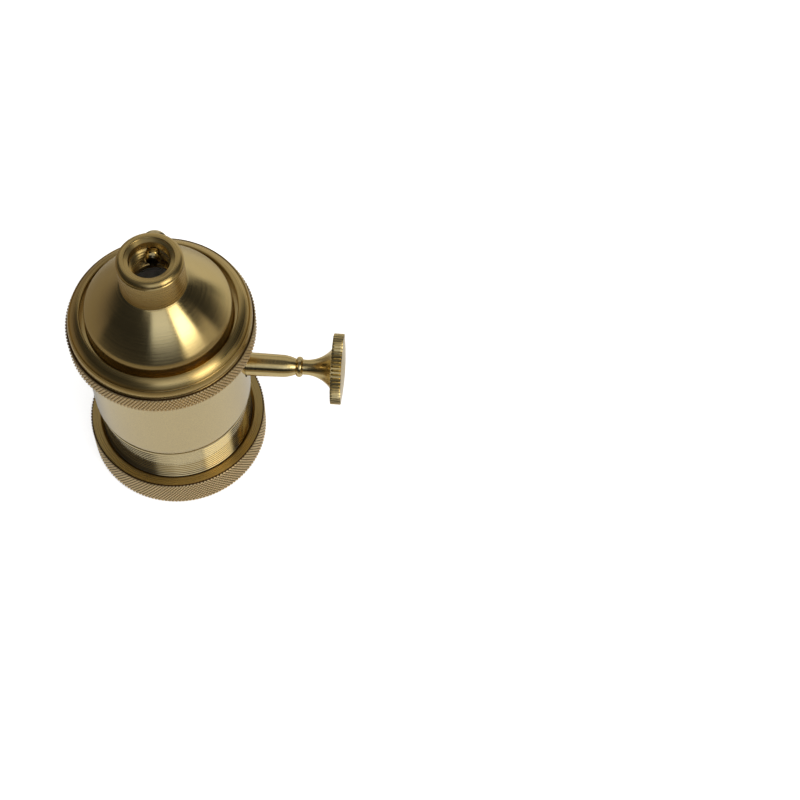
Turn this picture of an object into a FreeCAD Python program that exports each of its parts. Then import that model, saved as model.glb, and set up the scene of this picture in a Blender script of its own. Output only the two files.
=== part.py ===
import FreeCAD, Part
import math
import os
import re
import Sketcher

# Screw-cap lamp holder with a rotary switch. Z is the lamp's axis, the lamp goes in from below,
# and the origin is the middle of the rim that the holder stands on. The knob points along +X.

os.makedirs("parts", exist_ok=True)
doc = FreeCAD.newDocument("LampHolder")
Vector = FreeCAD.Vector
Rotation = FreeCAD.Rotation

sizes = [
    ("skirtLength", 23.8, "threaded skirt, from the rim to the polished shell"),
    ("shellLength", 27.1, "polished shell, from the skirt to the cap ring"),
    ("spigotLength", 5.3, "threaded end of the shell inside the cap ring"),
    ("shellStep", 0.7, "from the skirt out to the polished shell"),
    ("spigotDepth", 0.3, "step from the shell to its threaded end"),
    ("skirtWall", 1.3, "wall of the skirt, under its thread crests"),
    ("rimThickness", 1.4, "turned-in rim that carries the porcelain"),
    ("rimWidth", 1.8, "how far the rim turns in"),
    ("cutOverrun", 0.25, "how far a cut runs past the surface"),
    ("ringWall", 3.25, "cap ring, from its bore to its knurl"),
    ("ringClearance", 0.05, "cap ring on the shell's threaded end"),
    ("ringKnurlHeight", 5.0, "knurled band of the cap ring"),
    ("ringLand", 0.8, "flat land between the knurl and the bead"),
    ("ringBeadHeight", 2.8, "rounded bead above the land"),
    ("ringBeadRadius", 3.0, "curve of the bead"),
    ("ringBeadInset", 0.4, "how far the bead draws in at its top"),
    ("ringLipHeight", 3.2, "lip of the cap ring above the dome's flange"),
    ("ringLipOverlap", 0.8, "lip of the cap ring over the dome's flange"),
    ("ringShoulderRadius", 4.5, "curve of the ring's top"),
    ("flangeThickness", 1.2, "flange of the dome"),
    ("flangeInset", 0.1, "flange of the dome inside the ring's bore"),
    ("domeLedge", 2.0, "flange of the dome, beyond its side"),
    ("domeSide", 4.1, "straight side of the dome above its flange"),
    ("domeShoulderRadius", 3.2, "curve from the side to the crown"),
    ("domeShoulderAngle", 38.0, "turn of that curve in degrees"),
    ("domeCrownRise", 11.1, "from the top of the side to the neck"),
    ("domeCrownRadius", 41.0, "curve of the crown"),
    ("domeWall", 1.3, "wall of the dome"),
    ("neckRadius", 8.0, "neck"),
    ("neckLength", 9.8, "neck"),
    ("neckLipHeight", 1.8, "rounded lip of the neck"),
    ("neckLipFlat", 6.6, "top of the lip, outer radius"),
    ("neckMouthRadius", 5.85, "wide end of the lead-in"),
    ("neckLeadIn", 1.05, "height of the lead-in cone"),
    ("nippleRadius", 5.05, "plain land for a tube of 10 mm thread"),
    ("nippleLand", 1.2, "height of the plain land"),
    ("neckThreadRadius", 4.5, "bore of the neck below the land"),
    ("lockDepth", 4.4, "screw axis below the top of the neck"),
    ("lockRadius", 1.7, "locking screw, thread"),
    ("lockClearance", 0.05, "locking screw in its hole"),
    ("lockTip", 2.2, "tip of the screw from the lamp's axis"),
    ("lockHeadRadius", 2.9, "round head"),
    ("lockHeadRim", 0.6, "straight rim of the head"),
    ("lockHeadDome", 1.1, "dome of the head"),
    ("lockSeat", 0.1, "head from the neck"),
    ("shadeWall", 3.25, "shade ring, from its bore to its knurl"),
    ("shadeClearance", 0.35, "shade ring round the skirt"),
    ("shadeLift", 0.3, "shade ring above the rim's plane"),
    ("shadeFoot", 1.0, "height of the bevel below the knurl"),
    ("shadeFootInset", 0.6, "depth of that bevel"),
    ("shadeKnurlHeight", 8.5, "knurled band of the shade ring"),
    ("shadeTopBevel", 0.4, "bevel above the knurl"),
    ("knobHoleClearance", 0.4, "barrel of the knob in the shell"),
    ("knobPlay", 0.65, "inner end of the knob from the porcelain"),
    ("barrelRadius", 3.05, "barrel of the knob at the shell"),
    ("barrelEndRadius", 2.88, "barrel where its taper starts"),
    ("barrelLength", 10.85, "barrel of the knob"),
    ("taperLength", 3.2, "taper of the barrel"),
    ("taperRadius", 2.06, "thin end of the taper"),
    ("beadLength", 1.8, "bead of the knob"),
    ("beadCurve", 0.95, "curve of the bead"),
    ("stemRadius", 1.96, "thin neck behind the flare"),
    ("stemLength", 0.6, "thin neck behind the flare"),
    ("flareLength", 6.8, "flare of the knob"),
    ("flareRadius", 5.5, "wide end of the flare"),
    ("flareCurve", 8.3, "curve of the flare"),
    ("discRadius", 9.1, "ribbed disc of the knob"),
    ("discThickness", 2.75, "ribbed disc of the knob"),
    ("discLand", 0.15, "flat rim between the ribs and the disc's crown"),
    ("discCrown", 0.6, "rise of the disc's outer face"),
    ("ribCount", 54, "ribs round the disc"),
    ("ribDepth", 0.35, "depth between the ribs"),
    ("ribGap", 0.62, "width between the ribs"),
    ("spindleRadius", 1.5, "spindle of the switch"),
    ("spindleClearance", 0.05, "spindle in the porcelain"),
    ("spindleInKnob", 7.5, "spindle inside the knob"),
    ("spindleTail", 2.8, "spindle in its far bearing"),
    ("collarRadius", 2.4, "collar of the spindle"),
    ("collarWidth", 0.8, "collar of the spindle"),
    ("camRadius", 4.1, "cam, to its corners"),
    ("camWidth", 6.0, "cam along the spindle"),
    ("camFlat", 3.2, "cam, from its axis to its flats"),
    ("camHeadroom", 3.5, "from the cam's corners up to the terminal block"),
    ("camRoom", 1.7, "from the cam's corners down to the rivet"),
    ("endPlay", 0.3, "play of moving pieces inside"),
    ("coreClearance", 0.3, "porcelain in the shell"),
    ("porcelainWall", 4.1, "porcelain round the screw shell"),
    ("webThickness", 4.6, "web above the lamp"),
    ("pocketHalfWidth", 6.5, "pocket of the switch, across"),
    ("pocketNear", 9.0, "pocket of the switch, towards the knob"),
    ("pocketFar", 9.5, "pocket of the switch, away from the knob"),
    ("switchCentre", 4.0, "middle of the cam from the lamp's axis"),
    ("strapWidth", 5.0, "contact strips"),
    ("strapPlace", 2.0, "outer side of the neutral strap from the switch's pocket"),
    ("strapFoot", 3.0, "foot of the neutral strap on the screw shell's flange"),
    ("strapReach", 4.5, "ends of the strips under the terminals"),
    ("sheetThickness", 0.5, "contact strips"),
    ("slotClearance", 0.2, "strips in their slots"),
    ("screwShellRadius", 13.45, "screw shell for the lamp, inside"),
    ("screwShellWall", 0.35, "screw shell"),
    ("screwShellGap", 0.2, "screw shell in the porcelain"),
    ("screwShellInset", 1.6, "mouth of the screw shell above the porcelain's face"),
    ("screwMouth", 2.4, "plain mouth of the screw shell"),
    ("threadDepth", 1.1, "lamp thread, whose middle the wall follows"),
    ("screwFlangeHole", 7.6, "opening in the screw shell's flange, radius"),
    ("tongueWidth", 4.6, "centre contact"),
    ("tongueDrop", 2.6, "centre contact below the web"),
    ("tongueReach", 4.2, "end of the centre contact past the lamp's axis"),
    ("rivetPlace", 5.0, "rivet from the lamp's axis"),
    ("rivetRadius", 1.2, "rivet"),
    ("rivetHeadRadius", 2.1, "rivet heads"),
    ("rivetHeadHeight", 0.8, "rivet heads"),
    ("contactHeight", 5.8, "fixed contact above the pocket's floor"),
    ("contactGap", 0.3, "open switch contacts"),
    ("blockLength", 12.0, "terminal block, up to the dome's flange"),
    ("blockHeight", 9.0, "terminal block inside its rim"),
    ("blockRim", 1.5, "rim of the terminal block"),
    ("terminalFloor", 1.5, "floor under the terminals"),
    ("terminalWidth", 6.0, "terminals along the knob's axis"),
    ("terminalDepth", 6.0, "terminals across"),
    ("terminalHeight", 5.5, "terminals"),
    ("terminalInner", 6.5, "inner side of the terminals from the axis"),
    ("terminalClearance", 0.3, "terminals in their pockets"),
    ("wireHoleRadius", 1.2, "hole for the wire"),
    ("wireHoleFloor", 0.6, "brass under the wire"),
    ("terminalScrewRadius", 1.4, "terminal screws"),
    ("terminalScrewHead", 2.3, "terminal screw heads, radius"),
    ("terminalScrewLength", 4.5, "terminal screws below their heads"),
    ("screwHeadHeight", 1.8, "cheese heads"),
    ("coreScrewRadius", 1.4, "screws through both porcelains"),
    ("coreScrewHead", 2.5, "their heads, radius"),
    ("coreScrewLength", 21.5, "below their heads"),
    ("coreScrewEdge", 4.9, "their axis from the porcelain's side"),
    ("coreScrewAngle", 42.0, "their place, degrees from the knob"),
    ("screwClearance", 0.1, "screws in their holes"),
    ("slotWidth", 0.8, "driver slots"),
    ("slotDepth", 0.8, "driver slots"),
]

sheet = doc.addObject("Spreadsheet::Sheet", "Sizes")
for row, (alias, value, note) in enumerate(sizes, start=1):
    sheet.set(f"A{row}", alias)
    sheet.set(f"B{row}", str(value))
    sheet.set(f"C{row}", note)
    sheet.setAlias(f"B{row}", alias)
doc.recompute()
aliases = {alias for alias, value, note in sizes}


def bound(expression):
    # a size by its plain name becomes a reference to its cell
    return re.sub(r"[A-Za-z_]\w*", lambda m: f"Sizes.{m[0]}" if m[0] in aliases else m[0], expression)


def number(expression):
    return float(sheet.evalExpression(bound(expression)))


def total(*terms):
    return "(" + " + ".join(terms) + ")"


# heights and radii that follow from the sizes
ringSeat = total("skirtLength", "shellLength")
spigotTop = total(ringSeat, "spigotLength")
flangeTop = total(spigotTop, "flangeThickness")
sideTop = total(flangeTop, "domeSide")
neckFoot = total(sideTop, "domeCrownRise")
neckTop = total(neckFoot, "neckLength")
lampBore = total("screwShellRadius", "screwShellWall", "screwShellGap")
coreRadius = total(lampBore, "porcelainWall")
shellBore = total(coreRadius, "coreClearance")
skirtRadius = total(shellBore, "skirtWall")
shellRadius = total(skirtRadius, "shellStep")
spigotRadius = f"({shellRadius} - spigotDepth)"
ringBore = total(spigotRadius, "ringClearance")
ringLipRadius = f"({spigotRadius} - ringLipOverlap)"
domeRadius = f"({spigotRadius} - domeLedge)"
knobStart = total(coreRadius, "knobPlay")
coreScrewCircle = f"({coreRadius} - coreScrewEdge)"
coreFoot = "rimThickness"
coreTop = f"({spigotTop} - blockLength)"
knobHeight = f"({coreTop} - camHeadroom - camRadius)"
pocketFloor = f"({knobHeight} - camRadius - camRoom - rivetHeadHeight - sheetThickness)"
webFoot = f"({pocketFloor} - webThickness)"
terminalFoot = total(coreTop, "terminalFloor", "sheetThickness")
blockTop = total(coreTop, "blockHeight")
bladePlace = total("camRadius", "endPlay")
camSteps = 5  # chords along each rounded side of the cam


def make_body(label):
    body = doc.addObject("PartDesign::Body", label)
    body.Label = label
    return body


def place(body, x="0", y="0", z="0", rotation=None):
    if rotation:
        body.Placement = FreeCAD.Placement(Vector(), rotation)
    for axis, expression in (("x", x), ("y", y), ("z", z)):
        body.setExpression(f"Placement.Base.{axis}", bound(expression))


def make_sketch(body, role, name, height="0"):
    sketch = body.newObject("Sketcher::SketchObject", name)
    plane = next(f for f in body.Origin.OriginFeatures if f.Role == role)
    sketch.AttachmentSupport = [(plane, "")]
    sketch.MapMode = "FlatFace"
    sketch.setExpression("AttachmentOffset.Base.z", bound(height))
    return sketch


def fix(sketch, kind, refs, expression):
    index = sketch.addConstraint(Sketcher.Constraint(kind, *refs, number(expression)))
    sketch.setExpression(f"Constraints[{index}]", bound(expression))


def arc_between(start, end, radius, turn):
    # the short arc from start to end, and which of its ends is the start
    chord = end - start
    side = Vector(-chord.y, chord.x, 0).normalize() * (1 if turn == "left" else -1)
    centre = (start + end) / 2 + side * math.sqrt(max(radius ** 2 - (chord.Length / 2) ** 2, 0))
    first, last = (start, end) if turn == "left" else (end, start)
    angles = [math.atan2(p.y - centre.y, p.x - centre.x) for p in (first, last)]
    arc = Part.ArcOfCircle(Part.Circle(centre, Vector(0, 0, 1), radius), *angles)
    return arc, 1 if turn == "left" else 2


def join(sketch, kind, *refs):
    sketch.addConstraint(Sketcher.Constraint(kind, *refs))


def steps_along(sketch, arc, first, steps):
    # equal chords of a construction arc; returns the first and the last chord
    guide = sketch.addGeometry(arc, True)
    low, high = arc.FirstParameter, arc.LastParameter
    if first == 2:
        low, high = high, low
    points = [arc.value(low + (high - low) * i / steps) for i in range(steps + 1)]
    chords = [sketch.addGeometry(Part.LineSegment(a, b)) for a, b in zip(points, points[1:])]
    join(sketch, "Coincident", guide, first, chords[0], 1)
    join(sketch, "Coincident", guide, 3 - first, chords[-1], 2)
    for before, after in zip(chords, chords[1:]):
        join(sketch, "Coincident", before, 2, after, 1)
        join(sketch, "PointOnObject", after, 1, guide)
        join(sketch, "Equal", before, after)
    return guide, chords[0], chords[-1]


def draw(sketch, corners):
    # closed outline; a corner is (x, y), or (x, y, radius, turn, steps) where a curve leads to it
    edges = []
    for i, corner in enumerate(corners):
        start = Vector(number(corners[i - 1][0]), number(corners[i - 1][1]), 0)
        end = Vector(number(corner[0]), number(corner[1]), 0)
        if len(corner) == 2:
            line = sketch.addGeometry(Part.LineSegment(start, end))
            edges.append((None, line, line))
        else:
            arc, first = arc_between(start, end, number(corner[2]), corner[3])
            edges.append(steps_along(sketch, arc, first, corner[4]))
    for i, corner in enumerate(corners):
        guide, opening, closing = edges[i]
        join(sketch, "Coincident", edges[i - 1][2], 2, opening, 1)
        fix(sketch, "DistanceX", (-1, 1, closing, 2), corner[0])
        fix(sketch, "DistanceY", (-1, 1, closing, 2), corner[1])
        if guide is not None:
            fix(sketch, "Radius", (guide,), corner[2])


def circle(sketch, x, y, radius):
    geometry = Part.Circle(Vector(number(x), number(y), 0), Vector(0, 0, 1), number(radius))
    index = sketch.addGeometry(geometry)
    fix(sketch, "DistanceX", (-1, 1, index, 3), x)
    fix(sketch, "DistanceY", (-1, 1, index, 3), y)
    fix(sketch, "Radius", (index,), radius)


def rectangle(x0, x1, y0, y1):
    return [(x0, y0), (x1, y0), (x1, y1), (x0, y1)]


def revolve(body, corners, name="Profile"):
    sketch = make_sketch(body, "XZ_Plane", name)
    draw(sketch, corners)
    feature = body.newObject("PartDesign::Revolution", f"{name}Turned")
    feature.Profile = sketch
    feature.ReferenceAxis = (sketch, ["V_Axis"])
    feature.Angle = 360
    doc.recompute()
    return sketch


def pad(body, sketch, length, middle=False):
    feature = body.newObject("PartDesign::Pad", f"{sketch.Name}Pad")
    feature.Profile = sketch
    if middle:
        feature.SideType = "Symmetric"
    feature.setExpression("Length", bound(length))
    doc.recompute()
    return feature


def pocket(body, sketch, length, up=True):
    before = body.Shape.Volume
    feature = body.newObject("PartDesign::Pocket", f"{sketch.Name}Cut")
    feature.Profile = sketch
    feature.Reversed = up
    feature.setExpression("Length", bound(length))
    doc.recompute()
    if body.Shape.Volume >= before:
        raise RuntimeError(f"{feature.Label} removes nothing")
    return feature


def bent_strip(label, corners, width, x):
    # a strip of sheet, bent in the plane across the knob's axis
    body = make_body(label)
    sketch = make_sketch(body, "YZ_Plane", "Bend")
    draw(sketch, corners)
    pad(body, sketch, width, middle=True)
    place(body, x=x)
    return body


def slotted_screw(label, radius, head, length, x, y, z):
    # cheese-headed screw; the head's underside is at z
    body = make_body(label)
    revolve(body, [
        ("0", f"-{length}"),
        (radius, f"-{length}"),
        (radius, "0"),
        (head, "0"),
        (head, "screwHeadHeight"),
        ("0", "screwHeadHeight"),
    ])
    sketch = make_sketch(body, "XY_Plane", "Slot", "screwHeadHeight - slotDepth")
    draw(sketch, rectangle(
        f"-{head} - cutOverrun", f"{head} + cutOverrun", "-slotWidth / 2", "slotWidth / 2"))
    pocket(body, sketch, "slotDepth + cutOverrun")
    place(body, x, y, z)
    return body


# shell: a turned brass tube, with a thread on its skirt and a hole for the knob
shell = make_body("shell")
revolve(shell, [
    (f"{shellBore} - rimWidth", "0"),
    (skirtRadius, "0"),
    (skirtRadius, "skirtLength"),
    (shellRadius, "skirtLength"),
    (shellRadius, ringSeat),
    (spigotRadius, ringSeat),
    (spigotRadius, spigotTop),
    (shellBore, spigotTop),
    (shellBore, "rimThickness"),
    (f"{shellBore} - rimWidth", "rimThickness"),
])
knobHole = make_sketch(shell, "YZ_Plane", "KnobHole")
circle(knobHole, "0", knobHeight, "barrelRadius + knobHoleClearance")
pocket(shell, knobHole, f"{shellRadius} + cutOverrun")

# cap ring: screwed on the shell's end, its lip holds the dome's flange
knurlTop = total(ringSeat, "ringKnurlHeight")
beadTop = total(knurlTop, "ringBeadHeight")
lipTop = total(flangeTop, "ringLipHeight")
ringOuter = total(ringBore, "ringWall")
beadFoot = f"({ringOuter} - ringLand)"
capRing = make_body("cap_ring")
revolve(capRing, [
    (ringBore, ringSeat),
    (ringOuter, ringSeat),
    (ringOuter, knurlTop),
    (beadFoot, knurlTop),
    (f"{beadFoot} - ringBeadInset", beadTop, "ringBeadRadius", "left", 2),
    (ringLipRadius, lipTop, "ringShoulderRadius", "left", 3),
    (ringLipRadius, flangeTop),
    (ringBore, flangeTop),
])

# dome: its flange lies between the shell's end and the ring's lip
shoulderEndRadius = f"({domeRadius} - domeShoulderRadius * (1 - cos(domeShoulderAngle)))"
shoulderEndHeight = f"({sideTop} + domeShoulderRadius * sin(domeShoulderAngle))"
innerShoulder = "(domeShoulderRadius - domeWall)"
innerEndRadius = f"({domeRadius} - domeShoulderRadius + {innerShoulder} * cos(domeShoulderAngle))"
innerEndHeight = f"({sideTop} + {innerShoulder} * sin(domeShoulderAngle))"
lipFoot = f"({neckTop} - neckLipHeight)"
landTop = f"({neckTop} - neckLeadIn)"
threadTop = f"({landTop} - nippleLand)"
dome = make_body("dome_cap")
domeProfile = revolve(dome, [
    (f"{domeRadius} - domeWall", spigotTop),
    (f"{spigotRadius} - flangeInset", spigotTop),
    (f"{spigotRadius} - flangeInset", flangeTop),
    (domeRadius, flangeTop),
    (domeRadius, sideTop),
    (shoulderEndRadius, shoulderEndHeight, "domeShoulderRadius", "left", 2),
    ("neckRadius", neckFoot, "domeCrownRadius", "left", 3),
    ("neckRadius", lipFoot),
    ("neckLipFlat", neckTop, "neckLipHeight", "left", 2),
    ("neckMouthRadius", neckTop),
    ("nippleRadius", landTop),
    ("nippleRadius", threadTop),
    ("neckThreadRadius", threadTop),
    ("neckThreadRadius", f"{neckFoot} - domeWall"),
    (innerEndRadius, innerEndHeight),
    (f"{domeRadius} - domeWall", sideTop),
])
lockHole = make_sketch(dome, "XZ_Plane", "LockHole")
circle(lockHole, "0", f"{neckTop} - lockDepth", "lockRadius + lockClearance")
pocket(dome, lockHole, "neckRadius + cutOverrun", up=False)

# locking screw: round head, its tip stands in the bore
lock = make_body("locking_screw")
headFoot = "(neckRadius + lockSeat)"
headDomeRadius = "((lockHeadRadius ^ 2 + lockHeadDome ^ 2) / (2 * lockHeadDome))"
headTop = f"({headFoot} + lockHeadRim + lockHeadDome)"
revolve(lock, [
    ("0", "lockTip"),
    ("lockRadius", "lockTip"),
    ("lockRadius", headFoot),
    ("lockHeadRadius", headFoot),
    ("lockHeadRadius", f"{headFoot} + lockHeadRim"),
    ("0", headTop, headDomeRadius, "left", 3),
])
lockSlot = make_sketch(lock, "XY_Plane", "Slot", f"{headTop} - slotDepth")
draw(lockSlot, rectangle("-lockHeadRadius", "lockHeadRadius", "-slotWidth / 2", "slotWidth / 2"))
pocket(lock, lockSlot, "slotDepth + cutOverrun")
place(lock, z=f"{neckTop} - lockDepth", rotation=Rotation(Vector(1, 0, 0), -90))

# shade ring: runs on the skirt's thread
shadeKnurlTop = "(shadeLift + shadeFoot + shadeKnurlHeight)"
shadeTop = f"({shadeKnurlTop} + shadeTopBevel)"
shadeBore = f"({skirtRadius} + shadeClearance)"
shadeOuter = total(shadeBore, "shadeWall")
shade = make_body("shade_ring")
revolve(shade, [
    (shadeBore, "shadeLift"),
    (f"{shadeOuter} - shadeFootInset", "shadeLift"),
    (shadeOuter, "shadeLift + shadeFoot"),
    (shadeOuter, shadeKnurlTop),
    (f"{shadeOuter} - shadeTopBevel", shadeTop),
    (shadeBore, shadeTop),
])

# knob: turned along its own axis, then laid along +X
barrelEnd = total(knobStart, "barrelLength")
taperEnd = total(barrelEnd, "taperLength")
beadEnd = total(taperEnd, "beadLength")
stemEnd = total(beadEnd, "stemLength")
flareEnd = total(stemEnd, "flareLength")
discEnd = total(flareEnd, "discThickness")
crownFoot = "(discRadius - ribDepth - discLand)"
crownCurve = f"(({crownFoot} ^ 2 + discCrown ^ 2) / (2 * discCrown))"
knob = make_body("knob")
knobProfile = revolve(knob, [
    ("spindleRadius", knobStart),
    ("barrelRadius", knobStart),
    ("barrelEndRadius", barrelEnd),
    ("taperRadius", taperEnd),
    ("stemRadius", beadEnd, "beadCurve", "left", 2),
    ("stemRadius", stemEnd),
    ("flareRadius", flareEnd, "flareCurve", "right", 4),
    ("discRadius", flareEnd),
    ("discRadius", discEnd),
    (crownFoot, discEnd),
    ("0", f"{discEnd} + discCrown", crownCurve, "left", 2),
    ("0", f"{knobStart} + spindleInKnob"),
    ("spindleRadius", f"{knobStart} + spindleInKnob"),
])
ribGroove = make_sketch(knob, "XY_Plane", "RibGroove", flareEnd)
draw(ribGroove, [
    ("discRadius - ribDepth", "0"),
    ("discRadius + ribDepth", "-ribGap"),
    ("discRadius + ribDepth", "ribGap"),
])
groove = pocket(knob, ribGroove, "discThickness")
ribs = knob.newObject("PartDesign::PolarPattern", "Ribs")
ribs.Originals = [groove]
ribs.Axis = (knobProfile, ["V_Axis"])
ribs.Angle = 360
ribs.setExpression("Occurrences", bound("ribCount"))
knob.Tip = ribs
place(knob, z=knobHeight, rotation=Rotation(Vector(0, 1, 0), 90))

# spindle: from its far bearing, through the cam and the near bearing, into the knob
spindle = make_body("switch_spindle")
collarEnd = "(pocketNear - endPlay)"
revolve(spindle, [
    ("0", "-pocketFar - spindleTail"),
    ("spindleRadius", "-pocketFar - spindleTail"),
    ("spindleRadius", f"{collarEnd} - collarWidth"),
    ("collarRadius", f"{collarEnd} - collarWidth"),
    ("collarRadius", collarEnd),
    ("spindleRadius", collarEnd),
    ("spindleRadius", f"{knobStart} + spindleInKnob"),
    ("0", f"{knobStart} + spindleInKnob"),
])
place(spindle, z=knobHeight, rotation=Rotation(Vector(0, 1, 0), 90))

# cam: two long sides and two flats, so each quarter turn makes or breaks the contact
cam = make_body("switch_cam")
camSketch = make_sketch(cam, "YZ_Plane", "CamOutline")
camHalf = "(sqrt(camRadius ^ 2 - camFlat ^ 2))"
draw(camSketch, [
    (camHalf, "-camFlat"),
    (camHalf, "camFlat", "camRadius", "left", camSteps),
    (f"-{camHalf}", "camFlat"),
    (f"-{camHalf}", "-camFlat", "camRadius", "left", camSteps),
])
circle(camSketch, "0", "0", "spindleRadius")
pad(cam, camSketch, "camWidth", middle=True)
place(cam, x="-switchCentre", z=knobHeight)

# lower porcelain: lamp bore below, pocket of the switch above
core = make_body("porcelain_core")
revolve(core, [
    (lampBore, coreFoot),
    (coreRadius, coreFoot),
    (coreRadius, coreTop),
    ("0", coreTop),
    ("0", webFoot),
    (lampBore, webFoot),
])
switchPocket = make_sketch(core, "XY_Plane", "SwitchPocket", pocketFloor)
draw(switchPocket, rectangle("-pocketFar", "pocketNear", "-pocketHalfWidth", "pocketHalfWidth"))
pocket(core, switchPocket, f"{coreTop} - {pocketFloor}")
nearBearing = make_sketch(core, "YZ_Plane", "NearBearing")
circle(nearBearing, "0", knobHeight, "spindleRadius + spindleClearance")
pocket(core, nearBearing, shellBore)
farBearing = make_sketch(core, "YZ_Plane", "FarBearing")
circle(farBearing, "0", knobHeight, "spindleRadius + spindleClearance")
pocket(core, farBearing, "pocketFar + spindleTail + endPlay", up=False)
strapOuter = "(pocketHalfWidth + strapPlace)"
strapSlotHalf = "(strapWidth / 2 + slotClearance)"
strapSlot = make_sketch(core, "XY_Plane", "StrapSlot", webFoot)
draw(strapSlot, rectangle(
    f"-switchCentre - {strapSlotHalf}", f"-switchCentre + {strapSlotHalf}",
    f"-{strapOuter} - slotClearance", f"-{strapOuter} + sheetThickness + slotClearance"))
pocket(core, strapSlot, f"{coreTop} - {webFoot}")
footRecess = make_sketch(core, "XY_Plane", "FootRecess", webFoot)
draw(footRecess, rectangle(
    f"-switchCentre - {strapSlotHalf}", f"-switchCentre + {strapSlotHalf}",
    f"-{strapOuter} - strapFoot - slotClearance", f"-{strapOuter}"))
pocket(core, footRecess, "sheetThickness + slotClearance")
rivetHole = make_sketch(core, "XY_Plane", "RivetHole", webFoot)
circle(rivetHole, "-rivetPlace", "0", "rivetRadius")
pocket(core, rivetHole, "webThickness")

# terminal block: upper porcelain, its rim carries the dome's flange
block = make_body("terminal_block")
revolve(block, [
    ("0", coreTop),
    (coreRadius, coreTop),
    (coreRadius, spigotTop),
    (f"{coreRadius} - blockRim", spigotTop),
    (f"{coreRadius} - blockRim", blockTop),
    ("0", blockTop),
])
terminalX0 = "(-switchCentre - terminalWidth / 2 - terminalClearance)"
terminalX1 = "(-switchCentre + terminalWidth / 2 + terminalClearance)"
terminalFar = "(terminalInner + terminalDepth + terminalClearance)"
terminalNear = f"({bladePlace} - terminalClearance)"
pocketDeep = f"({blockTop} - {coreTop} - terminalFloor)"
livePocket = make_sketch(block, "XY_Plane", "LivePocket", f"{coreTop} + terminalFloor")
draw(livePocket, rectangle(terminalX0, terminalX1, terminalNear, terminalFar))
pocket(block, livePocket, pocketDeep)
neutralPocket = make_sketch(block, "XY_Plane", "NeutralPocket", f"{coreTop} + terminalFloor")
draw(neutralPocket, rectangle(terminalX0, terminalX1, f"-{terminalFar}", f"-{terminalNear}"))
pocket(block, neutralPocket, pocketDeep)
bladeSlot = make_sketch(block, "XY_Plane", "BladeSlot", coreTop)
draw(bladeSlot, rectangle(
    f"-switchCentre - {strapSlotHalf}", f"-switchCentre + {strapSlotHalf}",
    f"{bladePlace} - slotClearance", f"{bladePlace} + sheetThickness + slotClearance"))
pocket(block, bladeSlot, "terminalFloor")
neutralSlot = make_sketch(block, "XY_Plane", "NeutralSlot", coreTop)
draw(neutralSlot, rectangle(
    f"-switchCentre - {strapSlotHalf}", f"-switchCentre + {strapSlotHalf}",
    f"-{strapOuter} - slotClearance", f"-{strapOuter} + sheetThickness + slotClearance"))
pocket(block, neutralSlot, "terminalFloor")

# the two screws through both porcelains, opposite each other
for side, label in ((1, "core_screw_front"), (-1, "core_screw_rear")):
    screwX = f"({side} * {coreScrewCircle} * cos(coreScrewAngle))"
    screwY = f"({side} * {coreScrewCircle} * sin(coreScrewAngle))"
    for holder, low in ((core, f"({blockTop} - coreScrewLength - endPlay)"), (block, coreTop)):
        hole = make_sketch(holder, "XY_Plane", f"{label}_hole", low)
        circle(hole, screwX, screwY, "coreScrewRadius + screwClearance")
        pocket(holder, hole, f"{blockTop} - {low}")
    slotted_screw(label, "coreScrewRadius", "coreScrewHead", "coreScrewLength", screwX, screwY, blockTop)

# screw shell: thin brass cup with a plain mouth, its flange lies on the web
shellFoot = total(coreFoot, "screwShellInset")
mouthTop = total(shellFoot, "screwMouth")
threadFoot = total(mouthTop, "threadDepth / 2")
threadMean = "(screwShellRadius - threadDepth / 2)"
screwShell = make_body("screw_shell")
revolve(screwShell, [
    ("screwShellRadius", shellFoot),
    ("screwShellRadius + screwShellWall", shellFoot),
    ("screwShellRadius + screwShellWall", mouthTop),
    (f"{threadMean} + screwShellWall", threadFoot),
    (f"{threadMean} + screwShellWall", webFoot),
    ("screwFlangeHole", webFoot),
    ("screwFlangeHole", f"{webFoot} - screwShellWall"),
    (threadMean, f"{webFoot} - screwShellWall"),
    (threadMean, threadFoot),
    ("screwShellRadius", mouthTop),
])

# centre contact: bent spring tongue under the web
tongue = make_body("centre_contact")
tongueSketch = make_sketch(tongue, "XZ_Plane", "Bend")
tongueFoot = f"({webFoot} - tongueDrop)"
draw(tongueSketch, [
    ("-rivetPlace - rivetHeadRadius", f"{webFoot} - sheetThickness"),
    ("-rivetPlace + rivetHeadRadius", f"{webFoot} - sheetThickness"),
    ("0", tongueFoot),
    ("tongueReach / 2", tongueFoot),
    ("tongueReach", f"{tongueFoot} + sheetThickness"),
    ("tongueReach", f"{tongueFoot} + 2 * sheetThickness"),
    ("tongueReach / 2", f"{tongueFoot} + sheetThickness"),
    ("sheetThickness / 4", f"{tongueFoot} + sheetThickness"),
    ("-rivetPlace + rivetHeadRadius + sheetThickness / 4", webFoot),
    ("-rivetPlace - rivetHeadRadius", webFoot),
])
pad(tongue, tongueSketch, "tongueWidth", middle=True)
tongueHole = make_sketch(tongue, "XY_Plane", "RivetHole", f"{webFoot} - sheetThickness")
circle(tongueHole, "-rivetPlace", "0", "rivetRadius")
pocket(tongue, tongueHole, "sheetThickness")

# rivet: through the tongue, the web and the fixed contact, with cone-shaped heads
rivet = make_body("centre_contact_rivet")
rivetFoot = f"({webFoot} - sheetThickness)"
rivetTop = f"({pocketFloor} + sheetThickness)"
revolve(rivet, [
    ("0", f"{rivetFoot} - rivetHeadHeight"),
    ("rivetHeadRadius", rivetFoot),
    ("rivetRadius", rivetFoot),
    ("rivetRadius", rivetTop),
    ("rivetHeadRadius", rivetTop),
    ("0", f"{rivetTop} + rivetHeadHeight"),
])
place(rivet, x="-rivetPlace")

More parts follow.
